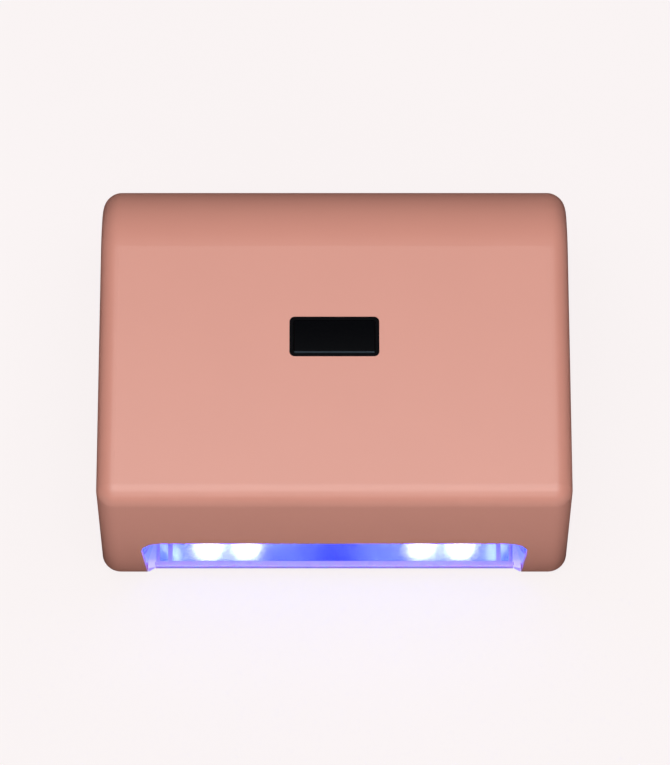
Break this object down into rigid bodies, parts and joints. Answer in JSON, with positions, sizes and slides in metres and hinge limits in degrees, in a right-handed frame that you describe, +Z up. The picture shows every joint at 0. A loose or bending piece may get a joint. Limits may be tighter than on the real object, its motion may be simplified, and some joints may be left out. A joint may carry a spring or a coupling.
{
  "type": "uv led nail lamp",
  "caption": "Table-top LED lamp that cures gel nails: rounded pink housing, display on top, wide hand opening low in front, and a slide-out mirrored tray.",
  "frame": {"origin": "on the table, under the middle of the lamp's footprint", "axes": "+X to the right seen from the front, +Y to the back, +Z up; the hand opening faces -Y"},
  "size_m": [0.21, 0.167, 0.0875],
  "materials": {
    "shell_pink": "satin",
    "display_black": "gloss",
    "display_window": "polished",
    "display_block": "matte",
    "board_green": "solder mask",
    "board_white": "white solder mask",
    "chip_black": "matte",
    "ferrite_grey": "matte",
    "can_aluminium": "satin",
    "connector_cream": "matte",
    "reflector": "mirror",
    "tray_sheet": "slightly satin mirror",
    "tray_frosted": "frosted, lets light through",
    "led_body": "matte",
    "led_lens": "clear, glowing violet when the lamp is on",
    "sensor_eye": "polished",
    "frame_white": "gloss",
    "screw_steel": "satin",
    "rubber_black": "matte",
    "magnet_nickel": "bright",
    "disc_steel": "satin",
    "panel_black": "fine grain",
    "jack_black": "matte",
    "contact_metal": "plated",
    "rocker_black": "gloss",
    "button_grey": "satin",
    "lead_red": "satin",
    "lead_black": "satin"
  },
  "bodies": {
    "lamp": {"top_shell": "shell_pink", "display_bezel": "display_black", "display_lens": "display_window", "display_module": "display_block", "control_board": "board_green", "control_board_screws": "screw_steel", "board_chips": "chip_black", "driver_inductors": "ferrite_grey", "smoothing_capacitors": "can_aluminium", "buzzer": "chip_black", "plug_sockets": "connector_cream", "reflector_canopy": "reflector", "canopy_screws": "screw_steel", "ceiling_led_board": "board_white", "ceiling_led_bodies": "led_body", "ceiling_led_lenses": "led_lens", "left_led_board": "board_white", "left_led_bodies": "led_body", "left_led_lenses": "led_lens", "right_led_board": "board_white", "right_led_bodies": "led_body", "right_led_lenses": "led_lens", "led_board_screws": "screw_steel", "hand_sensor_board": "board_green", "hand_sensor_eyes": "sensor_eye", "base_frame": "frame_white", "base_screws": "screw_steel", "rubber_feet": "rubber_black", "frame_magnets": "magnet_nickel", "rear_panel": "panel_black", "rear_panel_screws": "screw_steel", "dc_jack_housing": "jack_black", "dc_jack_pin": "contact_metal", "power_switch_housing": "jack_black", "power_switch_terminals": "contact_metal", "tact_switch": "chip_black", "button_board": "board_green", "button_board_screws": "screw_steel", "rear_leads": "lead_red", "side_led_leads": "lead_black", "ceiling_led_leads": "lead_black", "sensor_leads": "lead_black"},
    "tray": {"tray_plate": "tray_frosted", "tray_mirror": "tray_sheet", "tray_steel_discs": "disc_steel"},
    "rocker": {"power_rocker": "rocker_black"},
    "button": {"timer_button": "button_grey", "tact_plunger": "button_grey"}
  },
  "joints": [
    {"name": "tray_slide", "type": "slide", "parent": "lamp", "child": "tray", "axis": [0, -1, 0], "range_m": [0, 0.14]},
    {"name": "rocker_tilt", "type": "hinge", "parent": "lamp", "child": "rocker", "pos_m": [0, 0.076, 0.029], "axis": [0, 0, 1], "range_deg": [-16, 0]},
    {"name": "button_press", "type": "slide", "parent": "lamp", "child": "button", "axis": [0, -1, 0], "range_m": [0, 0.0012], "stiffness_N_per_m": 1200}
  ]
}
